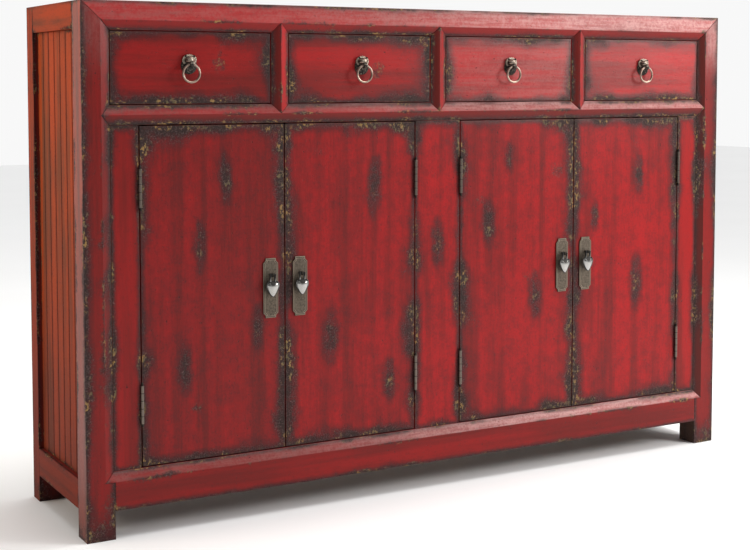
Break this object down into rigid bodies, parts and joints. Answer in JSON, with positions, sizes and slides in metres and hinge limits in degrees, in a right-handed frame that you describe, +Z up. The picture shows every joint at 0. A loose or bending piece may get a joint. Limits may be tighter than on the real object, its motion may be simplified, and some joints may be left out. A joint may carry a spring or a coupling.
{
  "type": "sideboard",
  "caption": "Shallow red-lacquered sideboard with a row of ring-pull drawers over pairs of hinged doors, in a mitred post-and-rail case on plain feet.",
  "frame": {"origin": "on the floor, at the middle of the whole piece with its pulls", "axes": "+X along the long side to the viewer's right, +Y to the back, +Z up; the front faces -Y"},
  "size_m": [1.575, 0.3682, 1.029],
  "materials": {
    "red_lacquer": "worn red lacquer rubbed through to dark brown along its edges, with ochre flecks",
    "bare_wood": "old unfinished softwood, darkened with age",
    "mask_bronze": "dark cast bronze with rubbed high points",
    "ring_metal": "pale brass, rubbed smooth",
    "plate_brass": "aged greenish-brown brass with a cut border line",
    "drop_pewter": "polished white metal with dark hollows",
    "hinge_metal": "dark aged brass"
  },
  "bodies": {
    "carcass": {"post_front_left": "red_lacquer", "post_front_right": "red_lacquer", "post_back_left": "red_lacquer", "post_back_right": "red_lacquer", "top_rail_front": "red_lacquer", "mid_rail_front": "red_lacquer", "bottom_rail_front": "red_lacquer", "divider_left": "red_lacquer", "divider_centre": "red_lacquer", "divider_right": "red_lacquer", "stile_left": "red_lacquer", "stile_centre": "red_lacquer", "stile_right": "red_lacquer", "top_panel": "red_lacquer", "side_rail_top_left": "red_lacquer", "side_rail_top_right": "red_lacquer", "side_rail_bottom_left": "red_lacquer", "side_rail_bottom_right": "red_lacquer", "side_panel_left": "red_lacquer", "side_panel_right": "red_lacquer", "back_panel": "bare_wood", "cupboard_floor": "bare_wood", "drawer_deck": "bare_wood", "shelf": "bare_wood", "hinge_1_upper": "hinge_metal", "hinge_1_lower": "hinge_metal", "hinge_2_upper": "hinge_metal", "hinge_2_lower": "hinge_metal", "hinge_3_upper": "hinge_metal", "hinge_3_lower": "hinge_metal", "hinge_4_upper": "hinge_metal", "hinge_4_lower": "hinge_metal"},
    "drawer_1": {"drawer_front_1": "red_lacquer", "drawer_box_1": "bare_wood", "pull_mask_1": "mask_bronze"},
    "ring_1": {"pull_ring_1": "ring_metal"},
    "drawer_2": {"drawer_front_2": "red_lacquer", "drawer_box_2": "bare_wood", "pull_mask_2": "mask_bronze"},
    "ring_2": {"pull_ring_2": "ring_metal"},
    "drawer_3": {"drawer_front_3": "red_lacquer", "drawer_box_3": "bare_wood", "pull_mask_3": "mask_bronze"},
    "ring_3": {"pull_ring_3": "ring_metal"},
    "drawer_4": {"drawer_front_4": "red_lacquer", "drawer_box_4": "bare_wood", "pull_mask_4": "mask_bronze"},
    "ring_4": {"pull_ring_4": "ring_metal"},
    "door_leaf_1": {"door_1": "red_lacquer", "door_plate_1": "plate_brass"},
    "drop_1": {"door_drop_1": "drop_pewter"},
    "door_leaf_2": {"door_2": "red_lacquer", "door_plate_2": "plate_brass"},
    "drop_2": {"door_drop_2": "drop_pewter"},
    "door_leaf_3": {"door_3": "red_lacquer", "door_plate_3": "plate_brass"},
    "drop_3": {"door_drop_3": "drop_pewter"},
    "door_leaf_4": {"door_4": "red_lacquer", "door_plate_4": "plate_brass"},
    "drop_4": {"door_drop_4": "drop_pewter"}
  },
  "joints": [
    {"name": "drawer_slide_1", "type": "slide", "parent": "carcass", "child": "drawer_1", "axis": [0, -1, 0], "range_m": [0, 0.24]},
    {"name": "ring_swing_1", "type": "hinge", "parent": "drawer_1", "child": "ring_1", "pos_m": [-0.57012, -0.17815, 0.9095], "axis": [-1, 0, 0], "range_deg": [0, 90]},
    {"name": "drawer_slide_2", "type": "slide", "parent": "carcass", "child": "drawer_2", "axis": [0, -1, 0], "range_m": [0, 0.24]},
    {"name": "ring_swing_2", "type": "hinge", "parent": "drawer_2", "child": "ring_2", "pos_m": [-0.18738, -0.17815, 0.9095], "axis": [-1, 0, 0], "range_deg": [0, 90]},
    {"name": "drawer_slide_3", "type": "slide", "parent": "carcass", "child": "drawer_3", "axis": [0, -1, 0], "range_m": [0, 0.24]},
    {"name": "ring_swing_3", "type": "hinge", "parent": "drawer_3", "child": "ring_3", "pos_m": [0.18738, -0.17815, 0.9095], "axis": [-1, 0, 0], "range_deg": [0, 90]},
    {"name": "drawer_slide_4", "type": "slide", "parent": "carcass", "child": "drawer_4", "axis": [0, -1, 0], "range_m": [0, 0.24]},
    {"name": "ring_swing_4", "type": "hinge", "parent": "drawer_4", "child": "ring_4", "pos_m": [0.56212, -0.17815, 0.9095], "axis": [-1, 0, 0], "range_deg": [0, 90]},
    {"name": "door_hinge_1", "type": "hinge", "parent": "carcass", "child": "door_leaf_1", "pos_m": [-0.6728, -0.16735, 0.478], "axis": [0, 0, -1], "range_deg": [0, 170]},
    {"name": "drop_swing_1", "type": "hinge", "parent": "door_leaf_1", "child": "drop_1", "pos_m": [-0.39795, -0.17565, 0.488], "axis": [-1, 0, 0], "range_deg": [0, 80]},
    {"name": "door_hinge_2", "type": "hinge", "parent": "carcass", "child": "door_leaf_2", "pos_m": [-0.0571, -0.16735, 0.478], "axis": [0, 0, 1], "range_deg": [0, 90]},
    {"name": "drop_swing_2", "type": "hinge", "parent": "door_leaf_2", "child": "drop_2", "pos_m": [-0.33195, -0.17565, 0.488], "axis": [-1, 0, 0], "range_deg": [0, 80]},
    {"name": "door_hinge_3", "type": "hinge", "parent": "carcass", "child": "door_leaf_3", "pos_m": [0.0571, -0.16735, 0.478], "axis": [0, 0, -1], "range_deg": [0, 90]},
    {"name": "drop_swing_3", "type": "hinge", "parent": "door_leaf_3", "child": "drop_3", "pos_m": [0.33195, -0.17565, 0.488], "axis": [-1, 0, 0], "range_deg": [0, 80]},
    {"name": "door_hinge_4", "type": "hinge", "parent": "carcass", "child": "door_leaf_4", "pos_m": [0.6728, -0.16735, 0.478], "axis": [0, 0, 1], "range_deg": [0, 170]},
    {"name": "drop_swing_4", "type": "hinge", "parent": "door_leaf_4", "child": "drop_4", "pos_m": [0.39795, -0.17565, 0.488], "axis": [-1, 0, 0], "range_deg": [0, 80]}
  ]
}
